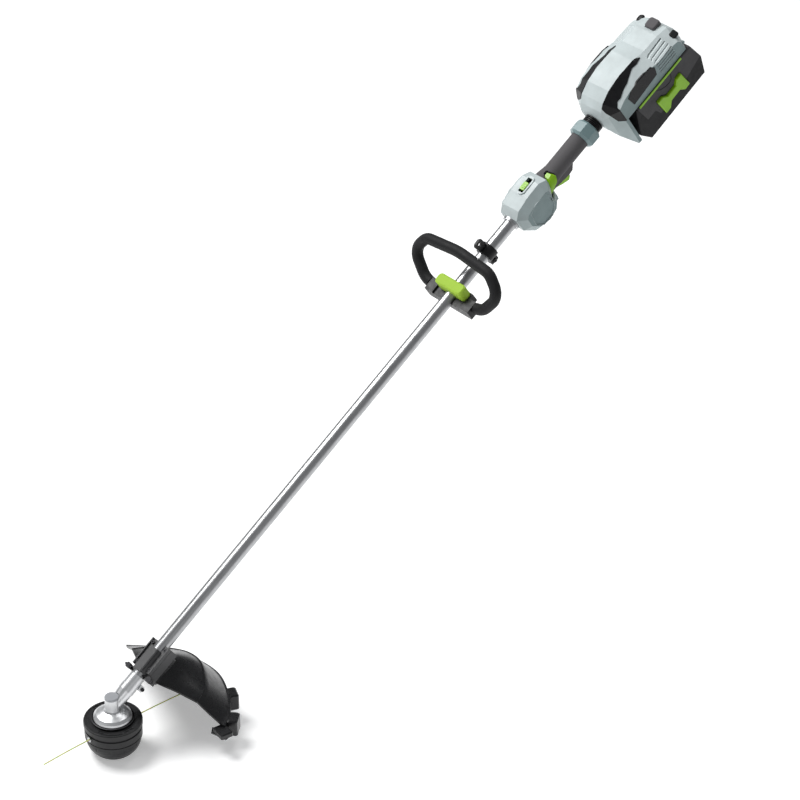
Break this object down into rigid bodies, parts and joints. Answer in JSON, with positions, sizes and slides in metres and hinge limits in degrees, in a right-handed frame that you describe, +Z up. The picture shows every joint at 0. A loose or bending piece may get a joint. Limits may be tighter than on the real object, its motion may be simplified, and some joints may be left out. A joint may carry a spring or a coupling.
{
  "type": "string trimmer",
  "caption": "Battery string trimmer: long straight shaft, bump-feed head under a canopy guard, loop handle, trigger grip and a rear motor housing with a slide-out battery.",
  "frame": {"origin": "centre of the bump knob's flat bottom, on the ground under the spindle", "axes": "+Z up along the cutting spindle, +Y from the cutting head towards the operator, +X to the operator's left"},
  "size_m": [0.3426, 1.6325, 1.091],
  "materials": {
    "silver_casting": "painted silver casting",
    "cap_plastic": "satin grey lid",
    "dark_steel": "black oxide steel",
    "bright_steel": "ground steel",
    "motor_core": "laminated core with copper windings",
    "motor_metal": "machined can",
    "anodised_tube": "satin anodised",
    "liner_plastic": "natural nylon",
    "bracket_grey": "dark grey satin",
    "guard_black": "glossy moulded black",
    "head_black": "moulded black nylon",
    "line_yellow": "pale yellow-green nylon line",
    "loop_black": "satin black",
    "loop_foam": "soft black foam",
    "lime_plastic": "lime green satin",
    "shell_grey": "pale grey textured plastic",
    "collar_teal": "teal grey plastic",
    "grip_rubber": "dark grey rubber",
    "trim_black": "gloss black insert",
    "inner_black": "black glass-filled nylon",
    "board_green": "circuit board",
    "pack_grey": "dark grey satin",
    "cell_wrap": "wrapped round cells"
  },
  "bodies": {
    "frame": {"gear_case": "silver_casting", "gear_case_cap": "cap_plastic", "debris_shield": "dark_steel", "spindle_bearings": "bright_steel", "pinion_bearings": "bright_steel", "guard_bracket_upper": "bracket_grey", "guard_bracket_lower": "bracket_grey", "bracket_knobs": "dark_steel", "clamp_screws": "dark_steel", "guard_shield": "guard_black", "line_cutter_blade": "bright_steel", "blade_screws": "dark_steel", "shaft_tube": "anodised_tube", "shaft_bushings": "liner_plastic", "switch_housing_left": "shell_grey", "switch_housing_right": "shell_grey", "tube_ring": "anodised_tube", "trigger_switch": "inner_black", "grip_sleeve": "grip_rubber", "neck_collar": "collar_teal", "rear_housing_left": "shell_grey", "rear_housing_right": "shell_grey", "housing_screws": "dark_steel", "side_trims": "trim_black", "badge_plates": "trim_black", "top_bumper": "grip_rubber", "motor_stator": "motor_core", "motor_mount": "motor_metal", "controller_board": "board_green", "battery_dock": "inner_black"},
    "head": {"spindle": "bright_steel", "bevel_gear": "bright_steel", "head_housing": "head_black", "head_cover": "head_black", "line_eyelets": "bright_steel", "cutting_line_front": "line_yellow", "cutting_line_rear": "line_yellow"},
    "drive": {"drive_shaft": "bright_steel", "bevel_pinion": "bright_steel", "motor_rotor": "motor_metal", "cooling_fan": "liner_plastic"},
    "spool": {"spool": "head_black", "wound_line": "line_yellow", "bump_knob": "head_black", "bump_spring": "bright_steel"},
    "loop_handle": {"loop_tube": "loop_black", "loop_grip": "loop_foam", "loop_clamp_base": "loop_black", "loop_clamp_cap": "lime_plastic", "loop_screws": "dark_steel"},
    "strap_hanger": {"hanger_clamp": "loop_black", "hanger_screw": "dark_steel"},
    "speed_switch": {"speed_slider": "lime_plastic"},
    "lock_off": {"lock_off_lever": "lime_plastic"},
    "trigger": {"trigger": "lime_plastic"},
    "battery": {"battery_case": "inner_black", "battery_cover": "pack_grey", "battery_stripe": "lime_plastic", "battery_cells": "cell_wrap"},
    "battery_latch": {"battery_latch": "lime_plastic"}
  },
  "joints": [
    {"name": "head_spin", "type": "hinge", "parent": "frame", "child": "head", "pos_m": [0, 0, 0.09], "axis": [0, 0, 1], "continuous": true},
    {"name": "drive_spin", "type": "hinge", "parent": "frame", "child": "drive", "pos_m": [0, 0, 0.1], "axis": [0, 0.8322, 0.5544], "continuous": true},
    {"name": "bump_press", "type": "slide", "parent": "head", "child": "spool", "axis": [0, 0, 1], "range_m": [0, 0.004], "stiffness_N_per_m": 1500, "springref_m": -0.004, "deforming": ["bump_spring"]},
    {"name": "handle_slide", "type": "slide", "parent": "frame", "child": "loop_handle", "axis": [0, 0.8322, 0.5544], "range_m": [-0.08, 0.04]},
    {"name": "hanger_slide", "type": "slide", "parent": "frame", "child": "strap_hanger", "axis": [0, 0.8322, 0.5544], "range_m": [-0.02, 0.04]},
    {"name": "speed_select", "type": "slide", "parent": "frame", "child": "speed_switch", "axis": [0, 0.8322, 0.5544], "range_m": [0, 0.008]},
    {"name": "lock_off_press", "type": "hinge", "parent": "frame", "child": "lock_off", "pos_m": [0.022, 1.08885, 0.81574], "axis": [0, -0.5544, 0.8322], "range_deg": [0, 4], "stiffness_Nm_per_rad": 1, "springref_deg": -5.73},
    {"name": "trigger_squeeze", "type": "hinge", "parent": "frame", "child": "trigger", "pos_m": [0, 1.1041, 0.80186], "axis": [1, 0, 0], "range_deg": [0, 10], "stiffness_Nm_per_rad": 1.5, "springref_deg": -5.73},
    {"name": "battery_slide", "type": "slide", "parent": "frame", "child": "battery", "axis": [1, 0, 0], "range_m": [0, 0.17]},
    {"name": "latch_press", "type": "slide", "parent": "battery", "child": "battery_latch", "axis": [0, -0.5544, 0.8322], "range_m": [0, 0.004], "stiffness_N_per_m": 800, "springref_m": -0.002}
  ],
  "couplings": [
    {"joint": "drive_spin", "follows": "head_spin", "ratio": 1.3333}
  ]
}
